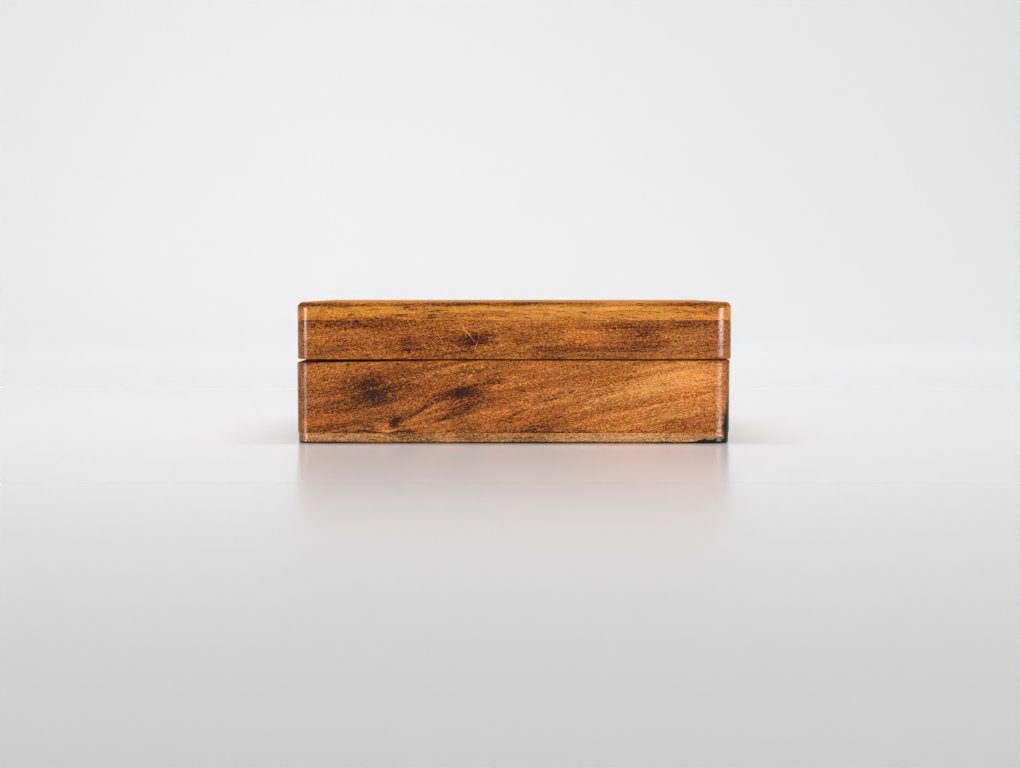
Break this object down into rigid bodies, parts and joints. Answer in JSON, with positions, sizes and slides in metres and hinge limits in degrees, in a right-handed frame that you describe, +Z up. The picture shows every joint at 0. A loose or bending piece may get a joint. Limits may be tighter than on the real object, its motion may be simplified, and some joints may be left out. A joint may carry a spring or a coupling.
{
  "type": "wooden puzzle box",
  "caption": "Flat rectangular hardwood puzzle box with a lid that swivels on a hidden corner dowel, locked by a secret underside slide and gravity pins.",
  "frame": {"origin": "middle of the underside of the closed box", "axes": "+X to the right along the long side, +Y from the front to the back, +Z up"},
  "size_m": [0.15, 0.1, 0.0486],
  "materials": {
    "base_wood": "satin lacquer over orange-brown hardwood",
    "lid_wood": "satin lacquer over orange-brown hardwood",
    "top_wood": "satin lacquer over lighter golden hardwood",
    "bottom_wood": "satin lacquer over pale golden board",
    "inner_wood": "plain sanded hardwood",
    "cover_wood": "oiled dark hardwood",
    "dowel_wood": "plain turned hardwood",
    "felt": "dark red wool felt",
    "brass": "turned, lightly tarnished",
    "steel": "bright drawn rod"
  },
  "bodies": {
    "base": {"bottom_board": "bottom_wood", "base_front_wall": "base_wood", "base_back_wall": "base_wood", "base_left_wall": "base_wood", "base_right_wall": "base_wood", "partition_wall": "inner_wood", "lock_block": "inner_wood", "lock_cover": "cover_wood", "cover_screws": "brass", "pin_liner_front": "brass", "pin_liner_back": "brass", "base_pivot_block": "inner_wood", "stop_pin": "steel", "pivot_washer": "brass", "floor_felt": "felt"},
    "lid": {"lid_front_rail": "lid_wood", "lid_back_rail": "lid_wood", "lid_left_rail": "lid_wood", "lid_right_rail": "lid_wood", "top_board": "top_wood", "keeper_cheek_outer": "inner_wood", "keeper_cheek_inner": "inner_wood", "keeper_spacers": "inner_wood", "lid_pivot_block": "inner_wood", "pivot_dowel": "dowel_wood", "dowel_washer": "steel", "dowel_screw": "steel", "lid_felt": "felt"},
    "slide": {"secret_slide": "bottom_wood", "cam_plate": "brass", "cam_rivets": "brass"},
    "bolt": {"lock_bolt": "brass", "bolt_pin": "steel"},
    "tilt_front": {"tilt_pin_front": "steel", "tilt_collar_front": "brass"},
    "tilt_back": {"tilt_pin_back": "steel", "tilt_collar_back": "brass"}
  },
  "joints": [
    {"name": "lid_swivel", "type": "hinge", "parent": "base", "child": "lid", "pos_m": [0.0571, 0.0325, 0.0288], "axis": [0, 0, 1], "range_deg": [0, 120]},
    {"name": "secret_slide_travel", "type": "slide", "parent": "base", "child": "slide", "axis": [0, 1, 0], "range_m": [0, 0.01]},
    {"name": "bolt_lift", "type": "slide", "parent": "base", "child": "bolt", "axis": [0, 0, 1], "range_m": [0, 0.006]},
    {"name": "tilt_front_drop", "type": "slide", "parent": "base", "child": "tilt_front", "axis": [0, 0, 1], "range_m": [0, 0.006]},
    {"name": "tilt_back_drop", "type": "slide", "parent": "base", "child": "tilt_back", "axis": [0, 0, 1], "range_m": [0, 0.006]}
  ],
  "couplings": [
    {"joint": "bolt_lift", "follows": "secret_slide_travel", "ratio": 0.6}
  ]
}
